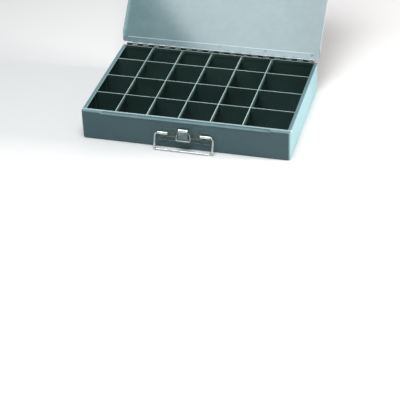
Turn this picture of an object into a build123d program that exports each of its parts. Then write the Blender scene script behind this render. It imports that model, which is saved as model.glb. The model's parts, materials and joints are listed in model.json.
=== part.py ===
"""Compartment storage box: folded steel pan with a slotted divider insert, a hinged lid,
a draw latch and a wire bail handle. Millimetres, +X right, +Y to the hinge side, +Z up.
The origin is the centre of the pan's underside. The lid is drawn shut and then swung open."""

import os

from build123d import *

# Pan
body_width = 457.2
body_depth = 304.8
body_height = 67.0
body_sheet = 0.9
body_corner_radius = 5.0
body_fold_radius = 1.6
rim_fold_radius = 1.2

# Inward rims along the top of the pan
side_rim = 8.0
front_rim = 13.6
rim_end_setback = 6.4
side_hem_width = 6.0
front_hem_width = 3.0

# Lowered shelf and rolled bead along the front edge of the rim
shelf_length = 372.0
shelf_depth = 8.4
shelf_drop = 2.0
shelf_end_radius = 7.0
bead_radius = 1.3
bead_overhang = 0.8

# Divider insert
divider_sheet = 0.8
divider_hem_height = 7.0
divider_bend_radius = 7.0
divider_top_clearance = 0.3
slot_clearance = 0.2
first_column_width = 70.6
long_divider_pitch = 69.85
long_divider_count = 5
rear_row_depth = 62.6
rear_rise_setback = 0.4
rear_rise_drop = 0.8
cross_divider_pitch = 76.2
cross_divider_count = 3
right_wall_leg = 25.0

# Continuous hinge, with its barrel standing above the pan
hinge_end_inset = 8.6
hinge_sheet = 0.9
hinge_pin_radius = 1.2
hinge_bore_clearance = 0.05
knuckle_count = 34
knuckle_gap = 0.4
leaf_clearance = 0.35
notch_clearance = 0.4
body_leaf_height = 21.0
lid_leaf_width = 15.6
lid_leaf_gap = 1.0
weld_count = 5
weld_end_inset = 6.0
weld_edge_inset = 4.6
weld_radius = 2.6
weld_depth = 0.3

# Lid
lid_sheet = 0.9
lid_side_clearance = 1.4
lid_flange_depth = 12.7
lid_fold_radius = 1.8
lid_corner_radius = 4.0
lid_rear_corner_radius = 5.5
lid_open_angle = 135.0
flange_end_run = 16.0
flange_end_setback = 5.0
flange_end_depth = 1.6

# Catch on the lid's front flange
catch_width = 20.0
catch_sheet = 1.2
catch_top_inset = 1.2
catch_plate_height = 11.2
catch_channel = 4.5
catch_lip_height = 2.7

# Latch base plate, hung from the top of the pan
plate_drop = 19.4
plate_width = 114.0
plate_height = 31.1
plate_sheet = 1.2
plate_corner_radius = 6.0
wing_inner_top = 22.0
wing_inner_bottom = 15.0
notch_depth = 15.0
tongue_half_width = 9.4
plate_hem_height = 2.2
plate_hem_proud = 0.8
plate_rib_height = 10.5
plate_rib_radius = 1.6
plate_rib_proud = 0.7
plate_weld_inset = 12.0
plate_weld_height = 14.7
plate_weld_radius = 1.6

# Bail handle and its lugs
bail_wire_radius = 2.0
bail_bore_clearance = 0.06
bail_half_width = 63.8
bail_length = 36.7
bail_corner_radius = 6.6
bail_pivot_drop = 10.8
lug_wall = 1.2
lug_length = 21.0
lug_seat_gap = 0.25
bail_end_inset = 1.5

# Draw latch lever, pivoted level with the top of its plate
lever_sheet = 1.0
lever_curl_radius = 4.6
lever_wall_gap = 0.4
lever_top_width = 20.0
lever_bottom_width = 27.0
lever_length = 22.5
lever_shoulder = 13.0
lever_flange_rear = 3.0
curl_past_top_angle = 25.0
ear_radius = 3.2
ear_sheet = 1.2
ear_gap = 0.8
ear_root_top = 1.2
ear_root_bottom = 10.0
lever_pin_radius = 1.5
lever_pin_clearance = 0.05
lever_pin_head = 0.8

# Latch ring
ring_wire_radius = 1.2
ring_bore_clearance = 0.06
ring_attach_offset = 5.0
ring_length = 17.5
ring_neck_half_width = 12.2
ring_widest_half_width = 15.2
ring_widest_start = 10.0
ring_widest_end = 14.0
ring_tip_half_width = 14.4
ring_bend_radius = 2.0
ring_rest_gap = 0.5
ring_end_gap = 0.5

# Places worked out from the sizes above
wall_x = body_width / 2 - body_sheet
wall_y = body_depth / 2 - body_sheet
floor_top = body_sheet
rim_inner_x = body_width / 2 - side_rim
rim_inner_y = front_rim - body_depth / 2
divider_top = body_height - 2 * body_sheet - divider_top_clearance
divider_middle = (floor_top + divider_top) / 2
shelf_top = body_height - shelf_drop
first_divider_x = first_column_width - wall_x
divider_xs = [first_divider_x + i * long_divider_pitch for i in range(long_divider_count)]
last_cross_y = wall_y - rear_row_depth
cross_ys = [last_cross_y - i * cross_divider_pitch for i in reversed(range(cross_divider_count))]

hinge_length = body_width - 2 * hinge_end_inset
barrel_radius = hinge_pin_radius + hinge_bore_clearance + hinge_sheet
pin_y = body_depth / 2 + barrel_radius + leaf_clearance
pin_z = body_height + lid_leaf_gap + barrel_radius
lid_inside_z = body_height + lid_leaf_gap + hinge_sheet
lid_outside_z = lid_inside_z + lid_sheet
lid_half_width = body_width / 2 + lid_side_clearance + lid_sheet
lid_front_y = -body_depth / 2 - lid_side_clearance - lid_sheet
lid_rear_y = body_depth / 2 - notch_clearance

plate_top = body_height - plate_drop
plate_bottom = plate_top - plate_height
plate_front_y = -body_depth / 2 - plate_sheet
bail_pivot_z = plate_top - bail_pivot_drop
lever_pivot_z = plate_top
bail_bore = bail_wire_radius + bail_bore_clearance
bail_pivot_y = plate_front_y - bail_bore - lug_seat_gap
lever_pivot_y = plate_front_y - lever_curl_radius - lever_wall_gap
lever_front_y = lever_pivot_y - lever_curl_radius
ring_attach_z = lever_pivot_z - ring_attach_offset
ring_rest_reach = lever_curl_radius + ring_wire_radius + ring_rest_gap

# How far a cutting block runs past what it cuts
past = 1.0


def span_box(x, y, z):
    """Box between the low and high values given for each axis."""
    centre = Pos((x[0] + x[1]) / 2, (y[0] + y[1]) / 2, (z[0] + z[1]) / 2)
    return centre * Box(x[1] - x[0], y[1] - y[0], z[1] - z[0])


def bar_along_x(radius, x, y, z):
    """Round bar between two X values."""
    return Pos((x[0] + x[1]) / 2, y, z) * Rot(0, 90, 0) * Cylinder(radius, x[1] - x[0])


def profile_along_x(points, x):
    """Solid with the given outline of (y, z) points between two X values."""
    outline = make_face(Polyline([(x[0], y, z) for y, z in points], close=True))
    return extrude(outline, amount=x[1] - x[0], dir=(1, 0, 0))


def mirrored(shape):
    """The shape and its mirror image across the middle of the box."""
    return [shape, mirror(shape, about=Plane.YZ)]


def shelf_cut(grow):
    """Space above the lowered front shelf, grown by the sheet for the pan's inside."""
    outline = RectangleRounded(
        shelf_length + 2 * grow, 2 * (shelf_depth + grow), shelf_end_radius + grow
    )
    start = Pos(0, -body_depth / 2, shelf_top - grow)
    return start * extrude(outline, amount=2 * shelf_drop + grow)


def pan_block(inset):
    """Closed block of the pan's outside, or of its inside when inset by the sheet."""
    outline = RectangleRounded(
        body_width - 2 * inset, body_depth - 2 * inset, body_corner_radius - inset
    )
    block = Pos(0, 0, inset) * extrude(outline, amount=body_height - 2 * inset)
    if inset == 0:
        block = fillet(block.faces().sort_by(Axis.Z)[0].edges(), body_fold_radius)
        block = fillet(block.faces().sort_by(Axis.Z)[-1].edges(), rim_fold_radius)
    return block - shelf_cut(inset)


def rim_hem():
    """Second layer and round folded edge under the inner edges of the three rims."""
    fold_z = body_height - body_sheet
    rear = wall_y - rim_end_setback
    inner_x = rim_inner_x + body_sheet
    inner_y = rim_inner_y - body_sheet
    layer = (fold_z - body_sheet, fold_z)
    side = span_box((inner_x, inner_x + side_hem_width), (inner_y - front_hem_width, rear), layer)
    side += Pos(inner_x, (inner_y + rear) / 2, fold_z) * Rot(90, 0, 0) * Cylinder(
        body_sheet, rear - inner_y
    )
    front = span_box((-inner_x, inner_x), (inner_y - front_hem_width, inner_y), layer)
    front += bar_along_x(body_sheet, (-inner_x, inner_x), inner_y, fold_z)
    return Compound(mirrored(side)).solids() + front.solids()


def body_pan():
    """Folded pan with its rims, lowered front shelf and rolled front bead."""
    inside = pan_block(body_sheet)
    pan = pan_block(0) - inside
    above = (divider_middle, body_height + body_sheet)
    rim_rear = wall_y - rim_end_setback
    pan -= span_box(
        (-rim_inner_x - body_sheet, rim_inner_x + body_sheet),
        (rim_inner_y - body_sheet, wall_y),
        above,
    )
    plan = RectangleRounded(2 * wall_x, 2 * wall_y, body_corner_radius - body_sheet)
    behind_rims = Pos(0, 0, above[0]) * extrude(plan, amount=above[1] - above[0])
    pan -= behind_rims & span_box((-wall_x, wall_x), (rim_rear, wall_y), above)
    for piece in rim_hem():
        pan += piece
    bead_y = bead_radius - bead_overhang - body_depth / 2
    bead_end = shelf_length / 2 - bead_radius
    pan += bar_along_x(bead_radius, (-bead_end, bead_end), bead_y, shelf_top - bead_radius)
    behind_bead = (-wall_y, rim_inner_y - body_sheet - front_hem_width)
    pan -= inside & span_box((-wall_x, wall_x), behind_bead, (0, shelf_top))
    return pan


def bent_strip(points, offset, width, bottom, top):
    """Upright strip of the given width along a plan path of lines with rounded corners."""
    path = FilletPolyline(*points, radius=divider_bend_radius - offset)
    return Pos(0, 0, bottom) * extrude(trace(path, line_width=width), amount=top - bottom)


def column_sheet(left, right, front=-wall_y, wall_leg=0.0):
    """Bent sheet down one side of a column and across the column's rear.
    Its outer face starts at left; a wall leg turns forward again along the right wall."""

    def path(offset):
        """Plan of the sheet, moved inwards from its outer face by the offset."""
        rear = wall_y - offset
        points = [(left + offset, front), (left + offset, rear)]
        if wall_leg:
            return points + [(right - offset, rear), (right - offset, wall_y - wall_leg)]
        return points + [(right, rear)]

    half = divider_sheet / 2
    sheet = bent_strip(path(half), half, divider_sheet, floor_top, divider_top)
    hem_bottom = divider_top - divider_hem_height
    sheet += bent_strip(path(2 * half), 2 * half, 2 * divider_sheet, hem_bottom, divider_top)
    rise_top = body_height - rear_rise_drop
    rise = bent_strip(path(2 * half), 2 * half, 2 * divider_sheet, hem_bottom, rise_top)
    rise_start = wall_y - rim_end_setback + rear_rise_setback
    sheet += rise & span_box((left - past, right + past), (rise_start, wall_y), (0, rise_top))
    front_relief = span_box(
        (left - past, left + 2 * divider_sheet + past),
        (-wall_y - past, shelf_depth + 2 * body_sheet - body_depth / 2),
        (shelf_top - 2 * body_sheet, divider_top + past),
    )
    return sheet - front_relief


def cross_slots(left):
    """Slots down from the top of a long divider for the cross dividers."""
    half = divider_sheet + slot_clearance
    reach = (left - past, left + 2 * divider_sheet + past)
    height = (divider_middle, divider_top + past)
    return [span_box(reach, (y - half, y + half), height) for y in cross_ys]


def long_divider(index):
    """Long divider with its rear flange, slotted for the cross dividers."""
    left = divider_xs[index]
    if index + 1 < long_divider_count:
        divider = column_sheet(left, divider_xs[index + 1] - slot_clearance)
    else:
        divider = column_sheet(left, wall_x, wall_leg=right_wall_leg)
    for slot in cross_slots(left):
        divider -= slot
    return divider


def left_liner():
    """Sheet against the left wall, with its rear flange behind the first column."""
    front = body_corner_radius - body_depth / 2
    return column_sheet(-wall_x, divider_xs[0] - slot_clearance, front)


def cross_divider(y):
    """Divider across all the columns, slotted up from its foot for the long dividers."""
    x = (-wall_x + 2 * divider_sheet + slot_clearance, wall_x)
    divider = span_box(x, (y - divider_sheet, y), (floor_top, divider_top))
    hem = (divider_top - divider_hem_height, divider_top)
    divider += span_box(x, (y - divider_sheet, y + divider_sheet), hem)
    for left in divider_xs:
        gap = (left - slot_clearance, left + divider_sheet + slot_clearance)
        reach = (y - divider_sheet - past, y + divider_sheet + past)
        divider -= span_box(gap, reach, (0, divider_middle + slot_clearance))
    return divider


def knuckle_spans(first):
    """X ranges of every other knuckle, starting from the given one."""
    pitch = hinge_length / knuckle_count
    starts = [-hinge_length / 2 + i * pitch for i in range(first, knuckle_count, 2)]
    return [(x + knuckle_gap / 2, x + pitch - knuckle_gap / 2) for x in starts]


def hinge_leaf(plate, notch, first):
    """Leaf plate with its own knuckles, notched for those of the other leaf."""
    leaf = plate
    for x in knuckle_spans(1 - first):
        leaf -= span_box((x[0] - knuckle_gap, x[1] + knuckle_gap), *notch)
    for x in knuckle_spans(first):
        leaf += bar_along_x(barrel_radius, x, pin_y, pin_z)
    bore = hinge_pin_radius + hinge_bore_clearance
    return leaf - bar_along_x(bore, (-hinge_length, hinge_length), pin_y, pin_z)


def weld_dimples(row, direction):
    """Round dents of the spot welds along a leaf, at the row's (y, z)."""
    first = weld_end_inset - hinge_length / 2
    pitch = -2 * first / (weld_count - 1)
    dents = []
    for i in range(weld_count):
        place = Plane(origin=(first + i * pitch, *row), z_dir=direction)
        dents.append(place * Cylinder(weld_radius, 2 * weld_depth))
    return dents


def hinge_body_leaf():
    """Leaf welded to the outside of the rear wall."""
    wall = body_depth / 2
    half = hinge_length / 2
    bottom = pin_z - body_leaf_height
    plate = span_box((-half, half), (wall, wall + hinge_sheet), (bottom, pin_z))
    reach = barrel_radius + notch_clearance
    notch = ((wall - past, pin_y + reach), (pin_z - reach, pin_z + reach))
    leaf = hinge_leaf(plate, notch, 0)
    for dent in weld_dimples((wall + hinge_sheet, bottom + weld_edge_inset), (0, 1, 0)):
        leaf -= dent
    return leaf


def hinge_lid_leaf():
    """Leaf welded to the inner face of the lid, in the lid's shut place."""
    half = hinge_length / 2
    bottom = lid_inside_z - hinge_sheet
    edge = pin_y - lid_leaf_width
    plate = span_box((-half, half), (edge, pin_y), (bottom, lid_inside_z))
    reach = barrel_radius + notch_clearance
    notch = ((lid_rear_y, pin_y + reach), (bottom - past, pin_z + reach))
    leaf = hinge_leaf(plate, notch, 1)
    for dent in weld_dimples((edge + weld_edge_inset, bottom), (0, 0, 1)):
        leaf -= dent
    return leaf


def hinge_pin():
    """Pin through all the knuckles."""
    end = hinge_length / 2 + knuckle_gap
    return bar_along_x(hinge_pin_radius, (-end, end), pin_y, pin_z)


def lid_block(inset):
    """Closed block of the lid's outside, or of its inside when inset by the sheet."""
    width = 2 * (lid_half_width - inset)
    depth = lid_rear_y - lid_front_y - inset
    middle = lid_front_y + inset + depth / 2
    outline = Rectangle(width, depth)
    outline = fillet(outline.vertices().group_by(Axis.Y)[0], lid_corner_radius - inset)
    outline = fillet(outline.vertices().group_by(Axis.Y)[-1], lid_rear_corner_radius)
    bottom = lid_outside_z - inset - lid_flange_depth
    return Pos(0, middle, bottom) * extrude(outline, amount=lid_flange_depth)


def lid_pan():
    """Lid panel with front and side flanges, in its shut place."""
    outside = lid_block(0)
    outside = fillet(outside.faces().sort_by(Axis.Z)[-1].edges(), lid_fold_radius)
    inside = lid_block(lid_sheet)
    far = body_width
    flange_bottom = lid_outside_z - lid_flange_depth
    end_y = lid_rear_y - flange_end_setback
    end_z = lid_outside_z - flange_end_depth
    taper = [
        (end_y - flange_end_run, flange_bottom - past),
        (end_y - flange_end_run, flange_bottom),
        (end_y, end_z),
        (lid_rear_y + past, end_z),
        (lid_rear_y + past, flange_bottom - past),
    ]
    return outside - inside - profile_along_x(taper, (-far, far))


def lid_catch():
    """Hook for the latch ring on the lid's front flange, in the lid's shut place."""
    top = lid_outside_z - catch_top_inset
    face = lid_front_y
    lip_front = face - 2 * catch_sheet - catch_channel
    ledge_top = ring_attach_z + ring_length - ring_wire_radius
    outline = [
        (face, top - catch_plate_height),
        (face, top),
        (face - catch_sheet, top),
        (face - catch_sheet, ledge_top),
        (lip_front + catch_sheet, ledge_top),
        (lip_front + catch_sheet, ledge_top - catch_sheet + catch_lip_height),
        (lip_front, ledge_top - catch_sheet + catch_lip_height),
        (lip_front, ledge_top - catch_sheet),
        (face - catch_sheet, ledge_top - catch_sheet),
        (face - catch_sheet, top - catch_plate_height),
    ]
    return profile_along_x(outline, (-catch_width / 2, catch_width / 2))


def plate_outline():
    """Front view of the latch base plate: two wings, two notches and a middle tongue."""
    half = plate_width / 2
    notch_bottom = plate_top - notch_depth
    points = [
        (0, plate_bottom),
        (half, plate_bottom),
        (half, plate_top),
        (wing_inner_top, plate_top),
        (wing_inner_bottom, notch_bottom),
        (tongue_half_width, notch_bottom),
        (tongue_half_width, plate_top),
        (0, plate_top),
    ]
    return make_face(Polyline([(x, -body_depth / 2, z) for x, z in points], close=True))


def latch_ear(x):
    """Upright ear that carries the lever's pin."""
    ear = bar_along_x(ear_radius, x, lever_pivot_y, lever_pivot_z)
    root = [
        (plate_front_y, lever_pivot_z - ear_root_bottom),
        (plate_front_y, lever_pivot_z - ear_root_top),
        (lever_pivot_y, lever_pivot_z - ear_root_top),
        (lever_pivot_y - ear_radius, lever_pivot_z),
    ]
    return ear + profile_along_x(root, x)


def latch_base_plate():
    """Stamped plate with a rib and weld dents, the bail's two lugs and the lever's two ears."""
    half = extrude(plate_outline(), amount=plate_sheet, dir=(0, -1, 0))
    corner = half.edges().filter_by(Axis.Y).group_by(Axis.X)[-1].sort_by(Axis.Z)[-1]
    half = fillet(corner, plate_corner_radius)
    wing = (0, plate_width / 2)
    hem = (plate_bottom, plate_bottom + plate_hem_height)
    half += span_box(wing, (plate_front_y - plate_hem_proud, plate_front_y), hem)
    rib_y = plate_front_y - plate_rib_proud + plate_rib_radius
    rib = bar_along_x(plate_rib_radius, wing, rib_y, plate_bottom + plate_rib_height)
    half += rib & span_box(wing, (rib_y - plate_rib_radius, plate_front_y), (plate_bottom, plate_top))
    weld_at = (plate_width / 2 - plate_weld_inset, plate_front_y, plate_bottom + plate_weld_height)
    half -= Plane(origin=weld_at, z_dir=(0, 1, 0)) * Cylinder(plate_weld_radius, 2 * weld_depth)
    lug = (plate_width / 2 - lug_length, plate_width / 2)
    half += bar_along_x(bail_bore + lug_wall, lug, bail_pivot_y, bail_pivot_z)
    half -= bar_along_x(bail_bore, (lug[0] - past, lug[1] + past), bail_pivot_y, bail_pivot_z)
    ear_end = lever_top_width / 2 - lever_sheet - ear_gap
    half += latch_ear((ear_end - ear_sheet, ear_end))
    hole = lever_pin_radius + lever_pin_clearance
    half -= bar_along_x(hole, (0, lever_top_width), lever_pivot_y, lever_pivot_z)
    left = mirror(half, about=Plane.YZ)
    return half + left


def bail_handle():
    """Wire bail hanging straight down from its lugs."""
    end = plate_width / 2 - lug_length + bail_end_inset
    points = [
        (end, bail_pivot_y, bail_pivot_z),
        (bail_half_width, bail_pivot_y, bail_pivot_z),
        (bail_half_width, bail_pivot_y, bail_pivot_z - bail_length),
    ]
    mirror_points = [(-x, y, z) for x, y, z in reversed(points)]
    path = FilletPolyline(*points, *mirror_points, radius=bail_corner_radius)
    start = Plane(origin=path @ 0, z_dir=path % 0)
    return sweep(start * Circle(bail_wire_radius), path=path)


def lever_pin():
    """Pin through the ears and the lever's side flanges."""
    end = lever_top_width / 2 + lever_pin_head
    return bar_along_x(lever_pin_radius, (-end, end), lever_pivot_y, lever_pivot_z)


def lever_face():
    """Front plate of the lever, flared below the shoulder."""
    top_half = lever_top_width / 2
    bottom_half = lever_bottom_width / 2
    shoulder_z = lever_pivot_z - lever_shoulder
    bottom_z = lever_pivot_z - lever_length
    points = [
        (top_half, lever_pivot_z),
        (top_half, shoulder_z),
        (bottom_half, bottom_z),
        (-bottom_half, bottom_z),
        (-top_half, shoulder_z),
        (-top_half, lever_pivot_z),
    ]
    outline = make_face(Polyline([(x, lever_front_y, z) for x, z in points], close=True))
    return extrude(outline, amount=lever_sheet, dir=(0, 1, 0))


def lever_curl():
    """Curl over the top of the lever, round the pin and past the top."""
    x = (-lever_top_width / 2, lever_top_width / 2)
    inner = lever_curl_radius - lever_sheet
    curl = bar_along_x(lever_curl_radius, x, lever_pivot_y, lever_pivot_z)
    curl -= bar_along_x(inner, (x[0] - past, x[1] + past), lever_pivot_y, lever_pivot_z)
    reach = 2 * lever_curl_radius
    quarter = span_box(x, (-reach, 0), (0, reach))
    pivot = Pos(0, lever_pivot_y, lever_pivot_z)
    turned = Rot(-curl_past_top_angle, 0, 0) * quarter
    return curl & (pivot * (quarter + turned))


def lever_flange():
    """Right side flange of the lever, with its holes for the pin and the ring."""
    outside = lever_top_width / 2
    x = (outside - lever_sheet, outside)
    root_z = lever_pivot_z - lever_shoulder
    rear_y = lever_pivot_y + lever_flange_rear
    side = [
        (lever_front_y, lever_pivot_z),
        (rear_y, lever_pivot_z),
        (rear_y, ring_attach_z - lever_flange_rear),
        (lever_front_y + lever_sheet, root_z),
        (lever_front_y, root_z),
    ]
    flange = profile_along_x(side, x)
    cap = bar_along_x(lever_curl_radius, x, lever_pivot_y, lever_pivot_z)
    above = (lever_pivot_z, lever_pivot_z + 2 * lever_curl_radius)
    flange += cap & span_box(x, (lever_front_y, rear_y), above)
    return flange


def latch_lever():
    """Pull lever of the draw latch, hanging down."""
    lever = lever_face() + lever_curl()
    for flange in mirrored(lever_flange()):
        lever += flange
    through = (-lever_top_width, lever_top_width)
    hole = lever_pin_radius + lever_pin_clearance
    lever -= bar_along_x(hole, through, lever_pivot_y, lever_pivot_z)
    return lever - bar_along_x(
        ring_wire_radius + ring_bore_clearance, through, lever_pivot_y, ring_attach_z
    )


def latch_ring():
    """Wire ring of the draw latch, hanging straight down from the lever's flanges."""
    end = lever_top_width / 2 - lever_sheet - ear_gap + ring_end_gap
    half = [
        (end, 0),
        (ring_neck_half_width, 0),
        (ring_widest_half_width, ring_widest_start),
        (ring_widest_half_width, ring_widest_end),
        (ring_tip_half_width, ring_length),
    ]
    outline = half + [(-x, s) for x, s in reversed(half)]
    points = [(x, lever_pivot_y, ring_attach_z - s) for x, s in outline]
    path = FilletPolyline(*points, radius=ring_bend_radius)
    start = Plane(origin=path @ 0, z_dir=path % 0)
    return sweep(start * Circle(ring_wire_radius), path=path)


def turned_about_x(shape, angle, y, z):
    """The shape turned about an X axis through the given point."""
    return Pos(0, y, z) * Rot(angle, 0, 0) * Pos(0, -y, -z) * shape


def opened(shape):
    """A piece of the lid moved from its shut place to its open place."""
    return turned_about_x(shape, -lid_open_angle, pin_y, pin_z)


def bail_at_rest():
    """The bail with its bar lying on the surface that the box stands on, if it reaches it."""
    drop = min(1.0, (bail_pivot_z - bail_wire_radius) / bail_length)
    angle = Vector(0, 0, 1).get_angle(Vector(0, (1 - drop**2) ** 0.5, drop))
    return turned_about_x(bail_handle(), -angle, bail_pivot_y, bail_pivot_z)


def ring_at_rest():
    """The ring hanging with its tip against the front of the lever."""
    lean = ring_rest_reach / ring_length
    angle = Vector(0, 0, 1).get_angle(Vector(0, lean, (1 - lean**2) ** 0.5))
    return turned_about_x(latch_ring(), -angle, lever_pivot_y, ring_attach_z)


def all_pieces():
    """Every piece in its rest place, under its node's name."""
    pieces = {
        "body_pan": body_pan(),
        "left_liner": left_liner(),
        "hinge_body_leaf": hinge_body_leaf(),
        "hinge_pin": hinge_pin(),
        "hinge_lid_leaf": opened(hinge_lid_leaf()),
        "lid_pan": opened(lid_pan()),
        "lid_catch": opened(lid_catch()),
        "latch_base_plate": latch_base_plate(),
        "lever_pin": lever_pin(),
        "latch_lever": latch_lever(),
        "latch_ring": ring_at_rest(),
        "bail_handle": bail_at_rest(),
    }
    for index in range(long_divider_count):
        pieces[f"long_divider_{index + 1}"] = long_divider(index)
    for index, y in enumerate(cross_ys):
        pieces[f"cross_divider_{index + 1}"] = cross_divider(y)
    return pieces


os.makedirs("parts", exist_ok=True)
for name, piece in all_pieces().items():
    export_step(piece, f"parts/{name}.step")
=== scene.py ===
"""Looks of the compartment storage box: enamelled sheet steel, zinc-plated latch and bail.

The CAD nodes give every place and size. Sheet pieces are dressed with copies of their nodes
that have rounded cut edges, and a Geometry Nodes tree sets out the marks of the spot welds.
Lengths are in metres, in the same frame as the part's source.
"""

from __future__ import annotations

import json
import logging
import math
from collections.abc import Callable
from dataclasses import dataclass, field
from enum import Enum

import bmesh
import bpy
from mathutils import Matrix, Vector

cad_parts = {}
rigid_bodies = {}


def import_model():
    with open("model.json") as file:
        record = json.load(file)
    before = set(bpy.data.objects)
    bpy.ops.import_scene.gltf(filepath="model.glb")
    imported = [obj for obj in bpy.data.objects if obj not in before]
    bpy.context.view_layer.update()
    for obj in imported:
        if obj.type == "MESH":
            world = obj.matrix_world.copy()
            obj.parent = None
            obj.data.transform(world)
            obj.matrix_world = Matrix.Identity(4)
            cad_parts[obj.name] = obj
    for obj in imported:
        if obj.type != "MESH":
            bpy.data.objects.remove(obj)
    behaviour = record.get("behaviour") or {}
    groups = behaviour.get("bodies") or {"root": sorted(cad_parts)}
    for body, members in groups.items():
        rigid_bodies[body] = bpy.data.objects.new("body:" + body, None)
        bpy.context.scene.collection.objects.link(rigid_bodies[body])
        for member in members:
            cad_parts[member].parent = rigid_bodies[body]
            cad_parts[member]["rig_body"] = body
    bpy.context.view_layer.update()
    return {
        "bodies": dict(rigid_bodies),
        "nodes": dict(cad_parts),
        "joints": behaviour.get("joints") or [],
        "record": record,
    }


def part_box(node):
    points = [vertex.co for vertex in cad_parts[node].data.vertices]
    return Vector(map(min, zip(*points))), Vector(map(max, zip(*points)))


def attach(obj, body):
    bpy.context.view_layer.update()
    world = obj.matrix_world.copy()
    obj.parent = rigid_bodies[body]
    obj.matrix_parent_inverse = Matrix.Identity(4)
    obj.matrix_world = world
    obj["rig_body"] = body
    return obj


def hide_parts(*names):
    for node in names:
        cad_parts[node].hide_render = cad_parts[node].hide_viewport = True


log = logging.getLogger("storage_box")

MM = 0.001
MERGE_DISTANCE = 0.000004
FLAT_WITHIN = 0.8
SMOOTH_BELOW = 40.0
WELD_RING_SIDES = 24
WELD_BEAD_SIDES = 8
PIP_DIVISIONS = 3
PIP_SHARE = 0.45
PIP_SINK = 0.3 * MM
PIP_FLATNESS = 0.3
Colour = tuple[float, float, float]
Point = tuple[float, float, float]


def srgb(red: int, green: int, blue: int) -> Colour:
    """Turns a colour read as 0 to 255 into the linear values that shaders use.

    Args:
        red: Red, 0 to 255.
        green: Green, 0 to 255.
        blue: Blue, 0 to 255.

    Returns:
        The linear colour.
    """

    def linear(value: int) -> float:
        """Linear share of one channel."""
        share = value / 255
        return share / 12.92 if share <= 0.04045 else ((share + 0.055) / 1.055) ** 2.4

    return linear(red), linear(green), linear(blue)


class Grain(Enum):
    """Direction in which a surface was scuffed, rolled or brushed, as stretches of X, Y and Z."""

    ALONG_X = (0.06, 1.0, 1.0)
    ALONG_Y = (1.0, 0.06, 1.0)
    ALONG_Z = (1.0, 1.0, 0.06)
    NONE = (1.0, 1.0, 1.0)


class Wiring:
    """One shader node tree that is wired step by step."""

    def __init__(self, tree: bpy.types.NodeTree) -> None:
        """Takes the tree to wire."""
        self.tree = tree

    def node(self, kind: str, **settings: object) -> bpy.types.Node:
        """Adds a node.

        Args:
            kind: The node's type name.
            settings: Properties of the node to set.

        Returns:
            The new node.
        """
        made = self.tree.nodes.new(kind)
        for name, value in settings.items():
            setattr(made, name, value)
        return made

    def join(self, source: bpy.types.NodeSocket, target: bpy.types.NodeSocket) -> None:
        """Links an output to an input."""
        self.tree.links.new(source, target)

    def feed(self, target: bpy.types.NodeSocket, value: object) -> None:
        """Gives an input a link where the value is a socket, and else a constant.

        Args:
            target: The input.
            value: An output socket, a number, or a tuple of numbers.
        """
        if isinstance(value, bpy.types.NodeSocket):
            self.join(value, target)
        elif value is not None:
            target.default_value = value

    def maths(self, operation: str, first: object, second: object = None) -> bpy.types.NodeSocket:
        """Adds a Math node.

        Args:
            operation: The operation's name.
            first: First value or socket.
            second: Second value or socket, if the operation has one.

        Returns:
            The result's socket.
        """
        made = self.node("ShaderNodeMath", operation=operation)
        self.feed(made.inputs[0], first)
        self.feed(made.inputs[1], second)
        return made.outputs[0]

    def span(self, value: object, low: float, high: float, to_low: float = 0.0,
             to_high: float = 1.0) -> bpy.types.NodeSocket:
        """Maps a value from one range to another, smoothly and clamped.

        Args:
            value: The value or socket.
            low: Start of the input range.
            high: End of the input range.
            to_low: What the start becomes.
            to_high: What the end becomes.

        Returns:
            The result's socket.
        """
        made = self.node("ShaderNodeMapRange", interpolation_type="SMOOTHSTEP")
        for place, number in enumerate((value, low, high, to_low, to_high)):
            self.feed(made.inputs[place], number)
        return made.outputs[0]

    def blend(self, share: object, first: object, second: object) -> bpy.types.NodeSocket:
        """Mixes two colours.

        Args:
            share: How much of the second colour shows.
            first: First colour or socket.
            second: Second colour or socket.

        Returns:
            The mixed colour's socket.
        """
        made = self.node("ShaderNodeMix", data_type="RGBA", clamp_factor=True)
        self.feed(made.inputs["Factor"], share)
        self.feed(made.inputs[6], first if isinstance(first, bpy.types.NodeSocket) else (*first, 1))
        self.feed(made.inputs[7], second if isinstance(second, bpy.types.NodeSocket) else (*second, 1))
        return made.outputs[2]

    def noise(self, place: bpy.types.NodeSocket, scale: object, detail: float = 3.0,
              roughness: float = 0.55) -> bpy.types.NodeSocket:
        """Adds a noise texture.

        Args:
            place: Coordinates.
            scale: Cells per metre, as a number or a socket.
            detail: Octaves.
            roughness: Share of the finer octaves.

        Returns:
            The noise's value.
        """
        made = self.node("ShaderNodeTexNoise")
        self.join(place, made.inputs["Vector"])
        self.feed(made.inputs["Scale"], scale)
        made.inputs["Detail"].default_value = detail
        made.inputs["Roughness"].default_value = roughness
        return made.outputs[0]


def new_group(name: str, inputs: dict[str, object],
              outputs: dict[str, str]) -> tuple[Wiring, bpy.types.Node, bpy.types.Node]:
    """Starts a shader node group.

    Args:
        name: The group's name.
        inputs: Input names with their default numbers, or "vector" or "colour".
        outputs: Output names with "value" or "colour".

    Returns:
        The wiring, the group's input node and its output node.
    """
    tree = bpy.data.node_groups.new(name, "ShaderNodeTree")
    kinds = {"vector": "NodeSocketVector", "colour": "NodeSocketColor", "value": "NodeSocketFloat"}
    for label, value in inputs.items():
        kind = kinds.get(value, "NodeSocketFloat")
        socket = tree.interface.new_socket(label, in_out="INPUT", socket_type=kind)
        if kind == "NodeSocketFloat":
            socket.default_value = value
    for label, value in outputs.items():
        tree.interface.new_socket(label, in_out="OUTPUT", socket_type=kinds[value])
    wiring = Wiring(tree)
    return wiring, wiring.node("NodeGroupInput"), wiring.node("NodeGroupOutput")


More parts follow.
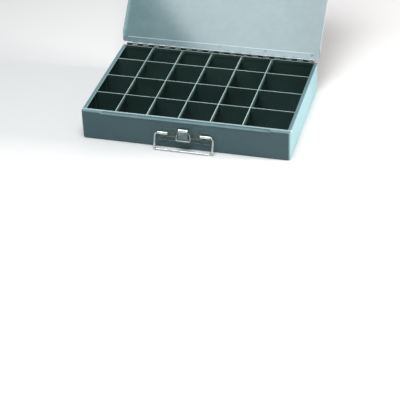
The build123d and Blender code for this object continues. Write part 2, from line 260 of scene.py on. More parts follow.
def mottle_group() -> bpy.types.NodeTree:
    """Slow cloudiness and fine orange peel of sprayed enamel.

    Returns:
        The group, with outputs Cloud, Peel and Speck.
    """
    wiring, given, result = new_group(
        "Enamel Mottle",
        {"Place": "vector", "Cloud Scale": 7.0, "Peel Scale": 620.0, "Speck Scale": 240.0},
        {"Cloud": "value", "Peel": "value", "Speck": "value"},
    )
    place = given.outputs["Place"]
    cloud = wiring.noise(place, given.outputs["Cloud Scale"], 4.0, 0.5)
    peel = wiring.noise(place, given.outputs["Peel Scale"], 1.5, 0.5)
    speck = wiring.noise(place, given.outputs["Speck Scale"], 2.0, 0.6)
    wiring.join(wiring.span(cloud, 0.3, 0.7), result.inputs["Cloud"])
    wiring.join(peel, result.inputs["Peel"])
    wiring.join(wiring.span(speck, 0.66, 0.72), result.inputs["Speck"])
    return wiring.tree


def scuff_group() -> bpy.types.NodeTree:
    """Fine scratches in one direction and rubbed patches.

    Returns:
        The group, with outputs Scratch and Rub.
    """
    wiring, given, result = new_group(
        "Handling Scuffs",
        {"Place": "vector", "Stretch": "vector", "Scratch Scale": 260.0, "Patch Scale": 16.0},
        {"Scratch": "value", "Rub": "value"},
    )
    stretched = wiring.node("ShaderNodeVectorMath", operation="MULTIPLY")
    wiring.join(given.outputs["Place"], stretched.inputs[0])
    wiring.join(given.outputs["Stretch"], stretched.inputs[1])
    lines = wiring.noise(stretched.outputs[0], given.outputs["Scratch Scale"], 2.0, 0.6)
    patch = wiring.noise(given.outputs["Place"], given.outputs["Patch Scale"], 3.0, 0.6)
    ridge = wiring.maths("ABSOLUTE", wiring.maths("SUBTRACT", lines, 0.5))
    scratch = wiring.span(ridge, 0.0, 0.016, 1.0, 0.0)
    where = wiring.span(patch, 0.5, 0.66)
    wiring.join(wiring.maths("MULTIPLY", scratch, where), result.inputs["Scratch"])
    wiring.join(where, result.inputs["Rub"])
    return wiring.tree


def dust_group() -> bpy.types.NodeTree:
    """Dust that lies on faces that look up, thicker in patches.

    Returns:
        The group, with output Dust.
    """
    wiring, given, result = new_group(
        "Shelf Dust",
        {"Place": "vector", "Facing": "vector", "Scale": 40.0, "Amount": 0.2},
        {"Dust": "value"},
    )
    parts = wiring.node("ShaderNodeSeparateXYZ")
    wiring.join(given.outputs["Facing"], parts.inputs[0])
    up = wiring.span(parts.outputs[2], 0.2, 0.95)
    patch = wiring.span(wiring.noise(given.outputs["Place"], given.outputs["Scale"], 5.0, 0.65), 0.35, 0.75)
    lying = wiring.maths("MULTIPLY", up, patch)
    wiring.join(wiring.maths("MULTIPLY", lying, given.outputs["Amount"]), result.inputs["Dust"])
    return wiring.tree


@dataclass
class Workshop:
    """Holds the shared shader groups and the tree of weld marks, each built once."""

    groups: dict[str, bpy.types.NodeTree] = field(default_factory=dict)

    def group(self, name: str) -> bpy.types.NodeTree:
        """The shared group or tree of that name, built at its first use."""
        makers = {"mottle": mottle_group, "scuffs": scuff_group, "dust": dust_group, "welds": weld_marks_tree}
        if name not in self.groups:
            self.groups[name] = makers[name]()
        return self.groups[name]

    def place(self, wiring: Wiring, name: str, **inputs: object) -> bpy.types.Node:
        """Places a shared group in a material.

        Args:
            wiring: The material's wiring.
            name: The group's short name.
            inputs: Values or sockets for the group's inputs, spaces written as underscores.

        Returns:
            The group node.
        """
        made = wiring.node("ShaderNodeGroup", node_tree=self.group(name))
        for label, value in inputs.items():
            wiring.feed(made.inputs[label.replace("_", " ")], value)
        return made


def start_material(name: str) -> tuple[bpy.types.Material, Wiring, bpy.types.Node, bpy.types.Node]:
    """Starts a material with its shader and coordinates.

    Args:
        name: The material's name.

    Returns:
        The material, its wiring, the Principled shader and the coordinates node.
    """
    material = bpy.data.materials.new(name)
    material.use_nodes = True
    wiring = Wiring(material.node_tree)
    shader = material.node_tree.nodes["Principled BSDF"]
    return material, wiring, shader, wiring.node("ShaderNodeTexCoord")


@dataclass(frozen=True)
class Enamel:
    """Baked grey-green enamel on sheet steel."""

    name: str
    colour: Colour = srgb(103, 133, 138)
    shade: Colour = srgb(95, 124, 129)
    bare: Colour = srgb(178, 190, 192)
    dust: Colour = srgb(186, 194, 190)
    grain: Grain = Grain.ALONG_X
    roughness: float = 0.36
    coat: float = 0.6
    coat_roughness: float = 0.16
    peel_height: float = 0.00003
    wave_height: float = 0.0008
    scratches: float = 0.3
    dust_amount: float = 0.12
    chips: float = 0.0
    # Lines along X, each a Y, Z and reach, near which the colour is painted lighter: painted highlights.
    painted_highlights: tuple[tuple[float, float, float], ...] = ()
    highlight_colour: Colour = srgb(184, 204, 206)
    # A line along X, with its reach and colour, near which the colour is painted dark: painted shade in a
    # crevice.
    painted_shade_at: tuple[float, float] | None = None
    painted_shade_reach: float = 2.2 * MM
    painted_shade: Colour = srgb(16, 24, 23)
    line_core: float = 0.75
    line_cover: float = 0.95
    rub_roughness: float = 0.08
    dust_roughness: float = 0.5
    specular: float = 0.2
    wave_scale: float = 9.0
    wave_strength: float = 0.5
    peel_strength: float = 0.6

    def material(self, workshop: Workshop) -> bpy.types.Material:
        """Builds the enamel.

        Args:
            workshop: Holder of the shared groups.

        Returns:
            The material.
        """
        material, wiring, shader, coordinates = start_material(self.name)
        place = coordinates.outputs["Object"]
        mottle = workshop.place(wiring, "mottle", Place=place)
        scuffs = workshop.place(wiring, "scuffs", Place=place, Stretch=self.grain.value)
        dust = workshop.place(
            wiring, "dust", Place=place, Facing=coordinates.outputs["Normal"], Amount=self.dust_amount
        )
        colour = wiring.blend(mottle.outputs["Cloud"], self.shade, self.colour)
        # Real wear only here: scratches and chips show the bare colour.
        wear_and_highlight = wiring.maths("MULTIPLY", scuffs.outputs["Scratch"], self.scratches)
        if self.chips:
            chip = wiring.maths("MULTIPLY", mottle.outputs["Speck"], self.chips)
            wear_and_highlight = wiring.maths("MAXIMUM", wear_and_highlight, chip)
        colour = wiring.blend(wear_and_highlight, colour, self.bare)
        colour = wiring.blend(dust.outputs["Dust"], colour, self.dust)
        # Painted highlights: lighter colour near each listed line, standing in for light caught by rims,
        # knuckles and edges.
        for along, up, reach in self.painted_highlights:
            highlit = self.near_line(wiring, place, (along, up), reach)
            colour = wiring.blend(highlit, colour, self.highlight_colour)
        # Painted shade: darker colour near the given line, where shade falls in a crevice.
        if self.painted_shade_at:
            shaded = self.near_line(wiring, place, self.painted_shade_at, self.painted_shade_reach)
            colour = wiring.blend(shaded, colour, self.painted_shade)
        wiring.join(colour, shader.inputs["Base Color"])
        roughest = self.roughness + self.rub_roughness
        rub = wiring.span(scuffs.outputs["Rub"], 0.0, 1.0, self.roughness, roughest)
        dulled = wiring.maths("MULTIPLY", dust.outputs["Dust"], self.dust_roughness)
        wiring.join(wiring.maths("ADD", rub, dulled), shader.inputs["Roughness"])
        shader.inputs["Specular IOR Level"].default_value = self.specular
        shader.inputs["Coat Weight"].default_value = self.coat
        shader.inputs["Coat Roughness"].default_value = self.coat_roughness
        self.surface(wiring, shader, place, mottle)
        return material

    def near_line(self, wiring: Wiring, place: bpy.types.NodeSocket, line: tuple[float, float],
                  reach: float) -> bpy.types.NodeSocket:
        """Masks what is near a line along X, such as a painted highlight on a knuckle or painted shade in a
        crevice.

        Args:
            wiring: The material's wiring.
            place: Coordinates.
            line: The line's Y and Z.
            reach: Distance at which the mask has faded away.

        Returns:
            How strongly the mask covers.
        """
        parts = wiring.node("ShaderNodeSeparateXYZ")
        wiring.join(place, parts.inputs[0])
        away = wiring.maths("SUBTRACT", parts.outputs[1], line[0])
        above = wiring.maths("SUBTRACT", parts.outputs[2], line[1])
        away_squared = wiring.maths("MULTIPLY", away, away)
        above_squared = wiring.maths("MULTIPLY", above, above)
        distance = wiring.maths("SQRT", wiring.maths("ADD", away_squared, above_squared))
        return wiring.span(distance, reach * self.line_core, reach, self.line_cover, 0.0)

    def surface(self, wiring: Wiring, shader: bpy.types.Node, place: bpy.types.NodeSocket,
                mottle: bpy.types.Node) -> None:
        """Adds the sheet's slow waves and the enamel's fine peel as relief.

        Args:
            wiring: The material's wiring.
            shader: The shader to relieve.
            place: Coordinates.
            mottle: The mottle group's node.
        """
        wave = wiring.node("ShaderNodeBump")
        wave.inputs["Strength"].default_value = self.wave_strength
        wave.inputs["Distance"].default_value = self.wave_height
        wiring.join(wiring.noise(place, self.wave_scale, 1.0, 0.4), wave.inputs["Height"])
        peel = wiring.node("ShaderNodeBump")
        peel.inputs["Strength"].default_value = self.peel_strength
        peel.inputs["Distance"].default_value = self.peel_height
        wiring.join(mottle.outputs["Peel"], peel.inputs["Height"])
        wiring.join(wave.outputs["Normal"], peel.inputs["Normal"])
        wiring.join(peel.outputs["Normal"], shader.inputs["Normal"])


@dataclass(frozen=True)
class ZincPlate:
    """Bright zinc plate on steel, with the rubbing of use."""

    name: str
    colour: Colour = srgb(196, 202, 203)
    dull: Colour = srgb(150, 160, 162)
    grain: Grain = Grain.ALONG_X
    roughness: float = 0.26
    streak_height: float = 0.00004
    tarnish: float = 0.6
    metal: float = 1.0
    cloud_scale: float = 60.0
    peel_scale: float = 900.0
    scratch_scale: float = 700.0
    patch_scale: float = 70.0
    scratch_shine: float = 0.5
    cloud_roughness: float = 0.16
    streak_strength: float = 0.5

    def material(self, workshop: Workshop) -> bpy.types.Material:
        """Builds the plating.

        Args:
            workshop: Holder of the shared groups.

        Returns:
            The material.
        """
        material, wiring, shader, coordinates = start_material(self.name)
        place = coordinates.outputs["Object"]
        mottle = workshop.place(
            wiring, "mottle", Place=place, Cloud_Scale=self.cloud_scale, Peel_Scale=self.peel_scale
        )
        scuffs = workshop.place(
            wiring, "scuffs", Place=place, Stretch=self.grain.value,
            Scratch_Scale=self.scratch_scale, Patch_Scale=self.patch_scale,
        )
        dulled = wiring.maths("MULTIPLY", mottle.outputs["Cloud"], self.tarnish)
        colour = wiring.blend(dulled, self.colour, self.dull)
        shine = wiring.maths("MULTIPLY", scuffs.outputs["Scratch"], self.scratch_shine)
        colour = wiring.blend(shine, colour, self.colour)
        wiring.join(colour, shader.inputs["Base Color"])
        shader.inputs["Metallic"].default_value = self.metal
        roughest = self.roughness + self.cloud_roughness
        rough = wiring.span(mottle.outputs["Cloud"], 0.0, 1.0, self.roughness, roughest)
        wiring.join(rough, shader.inputs["Roughness"])
        relief = wiring.node("ShaderNodeBump")
        relief.inputs["Strength"].default_value = self.streak_strength
        relief.inputs["Distance"].default_value = self.streak_height
        wiring.join(scuffs.outputs["Scratch"], relief.inputs["Height"])
        wiring.join(relief.outputs["Normal"], shader.inputs["Normal"])
        return material


def own_body(node: bpy.types.Object) -> str:
    """Name of the CAD body that a CAD node belongs to."""
    return node["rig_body"]


def merged_copy(node: bpy.types.Object, name: str) -> bpy.types.Object:
    """Copies a CAD node as one welded mesh with whole flat faces.

    Args:
        node: The CAD node.
        name: The copy's name.

    Returns:
        The copy, linked to the scene.
    """
    mesh = bpy.data.meshes.new(name)
    shape = bmesh.new()
    shape.from_mesh(node.data)
    bmesh.ops.remove_doubles(shape, verts=shape.verts, dist=MERGE_DISTANCE)
    bmesh.ops.dissolve_limit(
        shape, angle_limit=math.radians(FLAT_WITHIN), verts=shape.verts, edges=shape.edges,
        use_dissolve_boundaries=False,
    )
    shape.to_mesh(mesh)
    shape.free()
    for layer in ("custom_normal", "sharp_face", "sharp_edge"):
        found = mesh.attributes.get(layer)
        if found:
            mesh.attributes.remove(found)
    copy = bpy.data.objects.new(name, mesh)
    bpy.context.scene.collection.objects.link(copy)
    return copy


def plain_mesh(piece: bpy.types.Object) -> None:
    """Turns a piece with its modifiers into one plain mesh."""
    evaluated = piece.evaluated_get(bpy.context.evaluated_depsgraph_get())
    mesh = bpy.data.meshes.new_from_object(evaluated)
    piece.modifiers.clear()
    old = piece.data
    piece.data = mesh
    bpy.data.meshes.remove(old)


def shade_by_angle(piece: bpy.types.Object, angle: float) -> None:
    """Shades a piece smooth, with its flat faces kept flat.

    Args:
        piece: The piece.
        angle: Edges above this angle in degrees stay sharp.
    """
    piece.data.shade_smooth()
    piece.data.set_sharp_from_angle(angle=math.radians(angle))
    flats = piece.modifiers.new("flats", "WEIGHTED_NORMAL")
    flats.weight = 100
    flats.keep_sharp = True
    plain_mesh(piece)


@dataclass
class EdgeRounding:
    """Rounds the cut and folded edges of a copied sheet piece."""

    width: float = 0.25 * MM
    segments: int = 2
    from_angle: float = 32.0
    wear_and_highlight: Callable[[Vector, Vector], bool] | None = None

    def apply(self, node: bpy.types.Object, finishes: list[bpy.types.Material]) -> bpy.types.Object:
        """Makes the rounded copy that stands for a CAD node.

        Args:
            node: The CAD node.
            finishes: The sheet's finish, then that of its rounded edges, then that of the faces picked for a
                painted highlight.

        Returns:
            The copy, riding on the node's body.
        """
        copy = merged_copy(node, node.name + "_sheet")
        for finish in finishes:
            copy.data.materials.append(finish)
        for face in copy.data.polygons:
            face.material_index = 0
        bevel = copy.modifiers.new("edges", "BEVEL")
        bevel.width = self.width
        bevel.segments = self.segments
        bevel.limit_method = "ANGLE"
        bevel.angle_limit = math.radians(self.from_angle)
        bevel.use_clamp_overlap = True
        bevel.harden_normals = False
        # Where given, rounded edges take the second finish, which callers make a lighter copy of the sheet's:
        # a painted highlight.
        if len(finishes) > 1:
            bevel.material = 1
        plain_mesh(copy)
        # Faces picked by the test take the last finish, a painted highlight.
        if self.wear_and_highlight:
            for face in copy.data.polygons:
                if self.wear_and_highlight(face.center, face.normal):
                    face.material_index = len(finishes) - 1
        shade_by_angle(copy, SMOOTH_BELOW)
        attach(copy, own_body(node))
        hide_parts(node.name)
        log.info("sheet: %s with %d faces", copy.name, len(copy.data.polygons))
        return copy


def dress(node: bpy.types.Object, finish: bpy.types.Material) -> None:
    """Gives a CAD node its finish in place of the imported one."""
    node.data.materials.clear()
    node.data.materials.append(finish)


def joint_place(frame: dict, name: str) -> Vector:
    """Place of a joint's axis.

    Args:
        name: The joint's name.

    Returns:
        A point on the axis.
    """
    return Vector(next(joint["pos_m"] for joint in frame["joints"] if joint["name"] == name))


def weld_marks_tree() -> bpy.types.NodeTree:
    """Builds the Geometry Nodes tree that sets out spot-weld marks in a row along X.

    Each mark is a ring of metal pressed up round the electrode's dent, with a low pip in it.

    Returns:
        The tree, with inputs Count, Length, Radius, Bead, Unevenness, Seed and Finish.
    """
    tree = bpy.data.node_groups.new("Weld Marks", "GeometryNodeTree")
    for label, kind in (
        ("Count", "NodeSocketInt"),
        ("Length", "NodeSocketFloat"),
        ("Radius", "NodeSocketFloat"),
        ("Bead", "NodeSocketFloat"),
        ("Unevenness", "NodeSocketFloat"),
        ("Seed", "NodeSocketInt"),
        ("Finish", "NodeSocketMaterial"),
    ):
        tree.interface.new_socket(label, in_out="INPUT", socket_type=kind)
    tree.interface.new_socket("Marks", in_out="OUTPUT", socket_type="NodeSocketGeometry")
    wiring = Wiring(tree)
    given = wiring.node("NodeGroupInput").outputs

    half = wiring.maths("MULTIPLY", given["Length"], 0.5)
    start = wiring.node("ShaderNodeCombineXYZ")
    wiring.join(wiring.maths("MULTIPLY", half, -1.0), start.inputs["X"])
    end = wiring.node("ShaderNodeCombineXYZ")
    wiring.join(half, end.inputs["X"])
    row = wiring.node("GeometryNodeMeshLine", mode="END_POINTS")
    wiring.join(given["Count"], row.inputs["Count"])
    wiring.join(start.outputs[0], row.inputs["Start Location"])
    wiring.join(end.outputs[0], row.inputs["Offset"])

    loop = wiring.node("GeometryNodeCurvePrimitiveCircle")
    loop.inputs["Resolution"].default_value = WELD_RING_SIDES
    wiring.join(given["Radius"], loop.inputs["Radius"])
    section = wiring.node("GeometryNodeCurvePrimitiveCircle")
    section.inputs["Resolution"].default_value = WELD_BEAD_SIDES
    wiring.join(given["Bead"], section.inputs["Radius"])
    ring = wiring.node("GeometryNodeCurveToMesh")
    wiring.join(loop.outputs["Curve"], ring.inputs["Curve"])
    wiring.join(section.outputs["Curve"], ring.inputs["Profile Curve"])

    ball = wiring.node("GeometryNodeMeshIcoSphere")
    ball.inputs["Subdivisions"].default_value = PIP_DIVISIONS
    wiring.join(wiring.maths("MULTIPLY", given["Radius"], PIP_SHARE), ball.inputs["Radius"])
    pip = wiring.node("GeometryNodeTransform")
    wiring.join(ball.outputs["Mesh"], pip.inputs["Geometry"])
    pip.inputs["Translation"].default_value = (0.0, 0.0, -PIP_SINK)
    pip.inputs["Scale"].default_value = (1.0, 1.0, PIP_FLATNESS)
    mark = wiring.node("GeometryNodeJoinGeometry")
    wiring.join(ring.outputs["Mesh"], mark.inputs["Geometry"])
    wiring.join(pip.outputs["Geometry"], mark.inputs["Geometry"])

    size = wiring.node("FunctionNodeRandomValue", data_type="FLOAT")
    wiring.join(wiring.maths("SUBTRACT", 1.0, given["Unevenness"]), size.inputs[2])
    wiring.join(wiring.maths("ADD", 1.0, given["Unevenness"]), size.inputs[3])
    wiring.join(given["Seed"], size.inputs["Seed"])
    placed = wiring.node("GeometryNodeInstanceOnPoints")
    wiring.join(row.outputs["Mesh"], placed.inputs["Points"])
    wiring.join(mark.outputs["Geometry"], placed.inputs["Instance"])
    wiring.join(size.outputs[1], placed.inputs["Scale"])

    smooth = wiring.node("GeometryNodeSetShadeSmooth")
    wiring.join(placed.outputs["Instances"], smooth.inputs["Geometry"])
    real = wiring.node("GeometryNodeRealizeInstances")
    wiring.join(smooth.outputs["Geometry"], real.inputs["Geometry"])
    finish = wiring.node("GeometryNodeSetMaterial")
    wiring.join(real.outputs["Geometry"], finish.inputs["Geometry"])
    wiring.join(given["Finish"], finish.inputs["Material"])
    result = wiring.node("NodeGroupOutput")
    wiring.join(finish.outputs["Geometry"], result.inputs["Marks"])
    return tree


@dataclass(frozen=True)
class WeldRow:
    """A row of spot-weld marks along X on a flat face."""

    name: str
    count: int
    length: float
    place: Point
    tilt: float
    radius: float = 2.6 * MM
    bead: float = 0.18 * MM
    unevenness: float = 0.06
    seed: int = 11

    def build(self, node: bpy.types.Object, workshop: Workshop, finish: bpy.types.Material) -> None:
        """Sets out the marks as one plain mesh.

        Args:
            node: The CAD node that carries the marks.
            workshop: Holder of the shared trees.
            finish: The marks' finish.
        """
        mesh = bpy.data.meshes.new(self.name)
        marks = bpy.data.objects.new(self.name, mesh)
        bpy.context.scene.collection.objects.link(marks)
        modifier = marks.modifiers.new("marks", "NODES")
        modifier.node_group = workshop.group("welds")
        values = {
            "Count": self.count, "Length": self.length, "Radius": self.radius, "Bead": self.bead,
            "Unevenness": self.unevenness, "Seed": self.seed, "Finish": finish,
        }
        for socket in modifier.node_group.interface.items_tree:
            if socket.in_out == "INPUT":
                modifier[socket.identifier] = values[socket.name]
        bpy.context.view_layer.update()
        plain_mesh(marks)
        turn = Matrix.Rotation(math.radians(self.tilt), 4, "X")
        marks.data.transform(Matrix.Translation(Vector(self.place)) @ turn)
        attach(marks, own_body(node))
        log.info("welds: %s with %d faces", self.name, len(marks.data.polygons))


@dataclass
class Pan:
    """The folded pan."""

    rounding: EdgeRounding = field(default_factory=lambda: EdgeRounding(0.3 * MM, 3))
    # Y, Z and reach of a painted highlight along the top strip of the front rim.
    strip_highlight: tuple[float, float, float] = (-141.4 * MM, 67.0 * MM, 3.5 * MM)
    # Y and Z of the painted shade where the rear wall's top meets the hinge, with its reach below.
    hinge_crevice: tuple[float, float] = (152.8 * MM, 67.3 * MM)
    crevice_reach: float = 1.8 * MM

    def build(self, frame: dict, workshop: Workshop) -> None:
        """Builds and dresses the pan.

        Args:
            workshop: Holder of the shared groups.
        """
        # The sheet carries the painted highlight on the rim strip and painted shade in the hinge crevice.
        sheet = Enamel(
            "pan_enamel", roughness=0.5, coat=0.15, coat_roughness=0.3, painted_highlights=(self.strip_highlight,),
            highlight_colour=srgb(164, 186, 188), painted_shade_at=self.hinge_crevice, painted_shade_reach=self.crevice_reach,
        ).material(workshop)
        # Rounded edges: a lighter copy of the enamel as a painted highlight, with chips of real wear and the
        # same painted shade.
        edge = Enamel(
            "pan_edge_highlight_enamel", colour=srgb(134, 162, 166), shade=srgb(114, 142, 146), chips=0.8,
            roughness=0.5, coat=0.1, painted_shade_at=self.hinge_crevice, painted_shade_reach=self.crevice_reach,
        ).material(workshop)
        self.rounding.apply(frame["nodes"]["body_pan"], [sheet, edge])


@dataclass
class Insert:
    """The slotted divider sheets."""

    crown_above: float = 62.0 * MM
    facing_up: float = 0.9
    rounding_width: float = 0.35 * MM

    @property
    def rounding(self) -> EdgeRounding:
        """Rounding of the sheets' edges, with their folded tops painted bright as a highlight."""

        def highlit(centre: Vector, normal: Vector) -> bool:
            """Whether a face is on the folded top of a sheet, which takes the painted highlight."""
            return normal.z > self.facing_up and centre.z > self.crown_above

        return EdgeRounding(self.rounding_width, 3, wear_and_highlight=highlit)

    def build(self, frame: dict, workshop: Workshop) -> None:
        """Builds and dresses each sheet of the insert.

        Args:
            workshop: Holder of the shared groups.
        """
        # Sheets painted much darker than the same enamel on the pan: painted shade of the deep compartments.
        sheet = Enamel(
            "insert_shaded_enamel", colour=srgb(64, 87, 81), shade=srgb(52, 74, 68), grain=Grain.ALONG_Z,
            scratches=0.12, dust_amount=0.15, coat=0.1, roughness=0.45,
        ).material(workshop)
        # Rounded edges and folded tops painted far lighter: a painted highlight, with chips of real wear.
        edge = Enamel(
            "insert_edge_highlight_enamel", colour=srgb(192, 213, 212), shade=srgb(166, 190, 189), chips=0.7,
            roughness=0.4,
        ).material(workshop)
        for name, node in sorted(frame["nodes"].items()):
            if "divider" in name or "liner" in name:
                self.rounding.apply(node, [sheet, edge])


@dataclass
class Lid:
    """The lid with its flanges and the folded catch."""

    rounding: EdgeRounding = field(default_factory=lambda: EdgeRounding(0.3 * MM, 3))
    catch_rounding: EdgeRounding = field(default_factory=lambda: EdgeRounding(0.2 * MM, 2))

    def build(self, frame: dict, workshop: Workshop) -> None:
        """Builds and dresses the lid and its catch.

        Args:
            workshop: Holder of the shared groups.
        """
        sheet = Enamel(
            "lid_enamel", roughness=0.34, coat=1.0, coat_roughness=0.1, scratches=0.15
        ).material(workshop)
        # Rounded edges: a lighter copy of the enamel as a painted highlight, with chips of real wear.
        edge = Enamel(
            "lid_edge_highlight_enamel", colour=srgb(126, 152, 156), shade=srgb(104, 130, 134), chips=0.7,
            roughness=0.4,
        ).material(workshop)
        self.rounding.apply(frame["nodes"]["lid_pan"], [sheet, edge])
        plate = ZincPlate("catch_zinc").material(workshop)
        self.catch_rounding.apply(frame["nodes"]["lid_catch"], [plate])


@dataclass
class Latch:
    """The draw latch's base plate, lever, pin and ring, and the bail handle."""

    rounding: EdgeRounding = field(default_factory=lambda: EdgeRounding(0.22 * MM, 2))
    plate_front: float = -153.6 * MM
    plate_rounding_width: float = 0.34 * MM
    lug_proud: float = 1.3 * MM
    lug_inner: float = 34.0 * MM
    curl_above: float = 46.0 * MM
    weld_spread: float = 90.0 * MM
    weld_height: float = 31.2 * MM

    def on_lug(self, centre: Vector, _: Vector) -> bool:
        """Whether a face of the plate is on one of the bail's lugs, which are painted bright as a highlight.
        """
        return abs(centre.x) > self.lug_inner and centre.y < self.plate_front - self.lug_proud

    def on_curl(self, centre: Vector, normal: Vector) -> bool:
        """Whether a face of the lever is on the upper side of its curl, which is painted bright as a
        highlight.
        """
        return centre.z > self.curl_above and normal.z > 0.0

    def build(self, frame: dict, workshop: Workshop) -> None:
        """Builds and dresses the latch and the bail.

        Args:
            workshop: Holder of the shared groups.
        """
        nodes = frame["nodes"]
        plate = ZincPlate(
            "plate_zinc", colour=srgb(80, 104, 102), dull=srgb(54, 78, 75), roughness=0.42, metal=0.3
        ).material(workshop)
        # Near-white finish for the lugs, the curl's upper side and the rounded edges of plate and lever: a
        # painted highlight.
        lug = ZincPlate(
            "lug_highlight_zinc", colour=srgb(226, 232, 230), roughness=0.2, tarnish=0.2
        ).material(workshop)
        lever = ZincPlate(
            "lever_zinc", colour=srgb(128, 144, 142), dull=srgb(96, 112, 110), roughness=0.34, metal=0.6
        ).material(workshop)
        ring = ZincPlate(
            "ring_zinc", colour=srgb(186, 196, 194), roughness=0.22, grain=Grain.NONE
        ).material(workshop)
        wire = ZincPlate(
            "wire_zinc", colour=srgb(214, 222, 221), roughness=0.2, tarnish=0.35, grain=Grain.NONE
        ).material(workshop)
        pin = ZincPlate(
            "pin_steel", colour=srgb(168, 172, 172), dull=srgb(128, 134, 136)
        ).material(workshop)
        # Rounded edges and picked faces of plate and lever take the near-white finish as a painted highlight.
        plate_rounding = EdgeRounding(self.plate_rounding_width, self.rounding.segments, wear_and_highlight=self.on_lug)
        plate_rounding.apply(nodes["latch_base_plate"], [plate, lug])
        lever_rounding = EdgeRounding(self.rounding.width, self.rounding.segments, wear_and_highlight=self.on_curl)
        lever_rounding.apply(nodes["latch_lever"], [lever, lug])
        welds = WeldRow(
            "plate_weld_marks", 2, self.weld_spread, (0.0, self.plate_front, self.weld_height), 90.0,
            radius=1.6 * MM, bead=0.14 * MM,
        )
        welds.build(nodes["latch_base_plate"], workshop, plate)
        wires = {"latch_ring": ring, "bail_handle": wire, "lever_pin": pin, "hinge_pin": pin}
        for name, finish in wires.items():
            dress(nodes[name], finish)
            log.info("latch: %s dressed", name)


@dataclass
class Hinge:
    """The continuous hinge's leaves, and the marks of the spot welds that hold them."""

    barrel: float = 2.15 * MM
    # Place of the painted shade below the barrel, as shares of its radius forward and down, and its reach.
    crevice_shares: tuple[float, float] = (0.9, 0.75)
    crevice_reach: float = 3.0 * MM
    # Reaches of the painted highlights on the barrel and along the opened leaf's free edge.
    barrel_highlight_reach: float = 2.9 * MM
    edge_highlight_reach: float = 1.7 * MM
    rounding: EdgeRounding = field(default_factory=lambda: EdgeRounding(0.15 * MM, 2))
    open_angle: float = 135.0
    leaf_width: float = 15.6 * MM
    lid_weld_reach: float = 11.0 * MM
    body_weld_drop: float = 16.4 * MM
    body_leaf_face: float = 153.3 * MM
    weld_end_inset: float = 6.0 * MM
    weld_count: int = 5

    def build(self, frame: dict, workshop: Workshop) -> None:
        """Builds and dresses both leaves.

        Args:
            workshop: Holder of the shared groups.
        """
        pin = joint_place(frame, "lid_hinge")
        forward, down = self.crevice_shares
        crevice = (pin.y - forward * self.barrel, pin.z - down * self.barrel)
        free_edge = self.on_open_leaf(pin, self.leaf_width)
        # The leaves carry painted highlights on the barrel and the free edge, and painted shade below the
        # barrel.
        sheet = Enamel(
            "hinge_enamel", scratches=0.4, dust_amount=0.2, roughness=0.38, coat=1.0, coat_roughness=0.12,
            painted_highlights=((pin.y, pin.z, self.barrel_highlight_reach), (free_edge.y, free_edge.z, self.edge_highlight_reach)),
            painted_shade_at=crevice, painted_shade_reach=self.crevice_reach,
        ).material(workshop)
        # Rounded edges: a much lighter copy of the enamel as a painted highlight, with chips of real wear and
        # the same painted shade.
        edge = Enamel(
            "hinge_edge_highlight_enamel", colour=srgb(172, 196, 198), shade=srgb(146, 172, 175), chips=0.6,
            painted_shade_at=crevice, painted_shade_reach=self.crevice_reach,
        ).material(workshop)
        for name in ("hinge_body_leaf", "hinge_lid_leaf"):
            self.rounding.apply(frame["nodes"][name], [sheet, edge])
        for row in self.weld_rows(pin):
            node = frame["nodes"]["hinge_lid_leaf" if row.tilt > 0 else "hinge_body_leaf"]
            row.build(node, workshop, sheet)

    def on_open_leaf(self, pin: Vector, reach: float) -> Vector:
        """Finds a point on the inner face of the opened lid's leaf.

        Args:
            pin: A point on the hinge's axis.
            reach: Distance from the axis along the leaf.

        Returns:
            The point.
        """
        shut = Vector((0.0, -reach, -self.barrel))
        return pin + Matrix.Rotation(math.radians(-self.open_angle), 3, "X") @ shut

    def weld_rows(self, pin: Vector) -> tuple[WeldRow, WeldRow]:
        """Rows of weld marks on the lid's leaf and on the body's leaf.

        Args:
            pin: A point on the hinge's axis.

        Returns:
            The lid leaf's row and the body leaf's row.
        """
        low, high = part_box("hinge_body_leaf")
        length = high[0] - low[0] - 2 * self.weld_end_inset
        on_lid = tuple(self.on_open_leaf(pin, self.lid_weld_reach))
        tilt = 180.0 - self.open_angle
        lid_row = WeldRow("lid_leaf_weld_marks", self.weld_count, length, on_lid, tilt, bead=0.34 * MM)
        on_body = (0.0, self.body_leaf_face, pin.z - self.body_weld_drop)
        body_row = WeldRow("body_leaf_weld_marks", self.weld_count, length, on_body, -90.0, seed=23)
        return lid_row, body_row


@dataclass(frozen=True)
class Lamp:
    """A square soft light, facing straight down where it has a turn and else facing the box."""

    name: str
    place: Point
    size: float
    power: float
    colour: Colour
    turn: float | None = None
    aim: Point = (0.0, 0.05, 0.05)

    def hang(self) -> None:
        """Hangs the light in the scene."""
        light = bpy.data.lights.new(self.name, "AREA")
        light.shape = "SQUARE"
        light.size = self.size
        light.energy = self.power
        light.color = self.colour
        lamp = bpy.data.objects.new(self.name, light)
        lamp.location = self.place
        if self.turn is None:
            sight = Vector(self.aim) - Vector(self.place)
            lamp.rotation_euler = sight.to_track_quat("-Z", "Y").to_euler()
        else:
            lamp.rotation_euler = (0.0, 0.0, math.radians(self.turn))
        bpy.context.scene.collection.objects.link(lamp)


COOL = (0.91, 0.98, 1.0)
WARM = (1.0, 0.96, 0.93)
SIDE_LAMP = Lamp("right", (2.6, 0.15, 0.27), 0.5, 170.0, WARM)
BACK_LAMP = Lamp("back", (-0.4, 2.2, 1.6), 1.4, 5.0, COOL)
MIRRORED_LAMP = Lamp("overhead", (-0.08, -0.54, 1.9), 1.2, 33.0, COOL, turn=34.0)


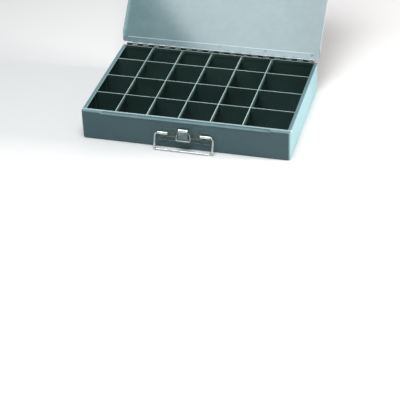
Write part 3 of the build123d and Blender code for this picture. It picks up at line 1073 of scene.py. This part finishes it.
@dataclass
class Studio:
    """Pale floor, soft lights, and the camera of the photograph."""

    image_width: int = 400
    focal_pixels: float = 1340.49
    sensor: float = 36.0
    eye: Point = (0.6973, -2.4547, 1.5458)
    right: Point = (0.9662, 0.25546, -0.03455)
    down: Point = (0.11909, -0.56122, -0.81904)
    floor_size: float = 14.0
    floor_drop: float = 0.3 * MM
    floor_seen: Colour = (0.93, 0.89, 0.88)
    floor_bounce: Colour = (0.38, 0.37, 0.365)
    sky: Colour = (0.93, 0.97, 1.0)
    sky_seen: float = 0.87
    sky_light: tuple[float, float] = (0.17, 0.28)
    sky_mirrored: tuple[float, float] = (0.35, 1.0)
    lamps: tuple[Lamp, ...] = (SIDE_LAMP, BACK_LAMP, MIRRORED_LAMP)

    def build(self) -> None:
        """Builds the floor, lights, world and camera."""
        self.floor()
        self.world()
        for lamp in self.lamps:
            lamp.hang()
        self.camera()

    def floor(self) -> None:
        """Lays the pale floor, which bounces less light than it shows."""
        mesh = bpy.data.meshes.new("floor")
        half = self.floor_size / 2
        corners = [(-half, -half), (half, -half), (half, half), (-half, half)]
        mesh.from_pydata([(x, y, -self.floor_drop) for x, y in corners], [], [(0, 1, 2, 3)])
        floor = bpy.data.objects.new("floor", mesh)
        bpy.context.scene.collection.objects.link(floor)
        material, wiring, shader, _ = start_material("floor_paint")
        path = wiring.node("ShaderNodeLightPath")
        seen = wiring.maths("MAXIMUM", path.outputs["Is Camera Ray"], path.outputs["Is Glossy Ray"])
        wiring.join(wiring.blend(seen, self.floor_bounce, self.floor_seen), shader.inputs["Base Color"])
        shader.inputs["Roughness"].default_value = 0.9
        shader.inputs["Specular IOR Level"].default_value = 0.1
        mesh.materials.append(material)

    def world(self) -> None:
        """Sets the sky: dim as a light, pale to the camera, and brightest behind in reflections."""
        world = bpy.data.worlds.new("studio")
        bpy.context.scene.world = world
        world.use_nodes = True
        wiring = Wiring(world.node_tree)
        background = world.node_tree.nodes["Background"]
        background.inputs["Color"].default_value = (*self.sky, 1)
        parts = wiring.node("ShaderNodeSeparateXYZ")
        wiring.join(wiring.node("ShaderNodeTexCoord").outputs["Generated"], parts.inputs[0])
        behind = wiring.span(parts.outputs[1], -0.5, 0.7)
        path = wiring.node("ShaderNodeLightPath")
        light = wiring.span(behind, 0.0, 1.0, *self.sky_light)
        mirrored = wiring.span(behind, 0.0, 1.0, *self.sky_mirrored)
        extra = wiring.maths("SUBTRACT", mirrored, light)
        sheen = wiring.maths("MULTIPLY", path.outputs["Is Glossy Ray"], extra)
        lit = wiring.maths("ADD", light, sheen)
        seen = wiring.maths("MAXIMUM", path.outputs["Is Camera Ray"], path.outputs["Is Transmission Ray"])
        shown = wiring.maths("MULTIPLY", seen, self.sky_seen)
        wiring.join(wiring.maths("MAXIMUM", lit, shown), background.inputs["Strength"])

    def camera(self) -> None:
        """Places the camera at the photograph's point of view."""
        data = bpy.data.cameras.new("camera")
        data.sensor_width = self.sensor
        data.lens = self.sensor * self.focal_pixels / self.image_width
        camera = bpy.data.objects.new("camera", data)
        right = Vector(self.right).normalized()
        up = -Vector(self.down)
        up = (up - right * up.dot(right)).normalized()
        back = right.cross(up)
        turn = Matrix((right, up, back)).transposed()
        camera.matrix_world = Matrix.Translation(Vector(self.eye)) @ turn.to_4x4()
        bpy.context.scene.collection.objects.link(camera)
        bpy.context.scene.camera = camera


def main() -> None:
    """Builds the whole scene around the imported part."""
    logging.basicConfig(level=logging.INFO, format="%(name)s: %(message)s")
    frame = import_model()
    workshop = Workshop()
    for part in (Pan(), Insert(), Lid(), Hinge(), Latch()):
        part.build(frame, workshop)
    Studio().build()
    bpy.context.scene.view_settings.view_transform = "Standard"


if __name__ == "__main__":
    main()
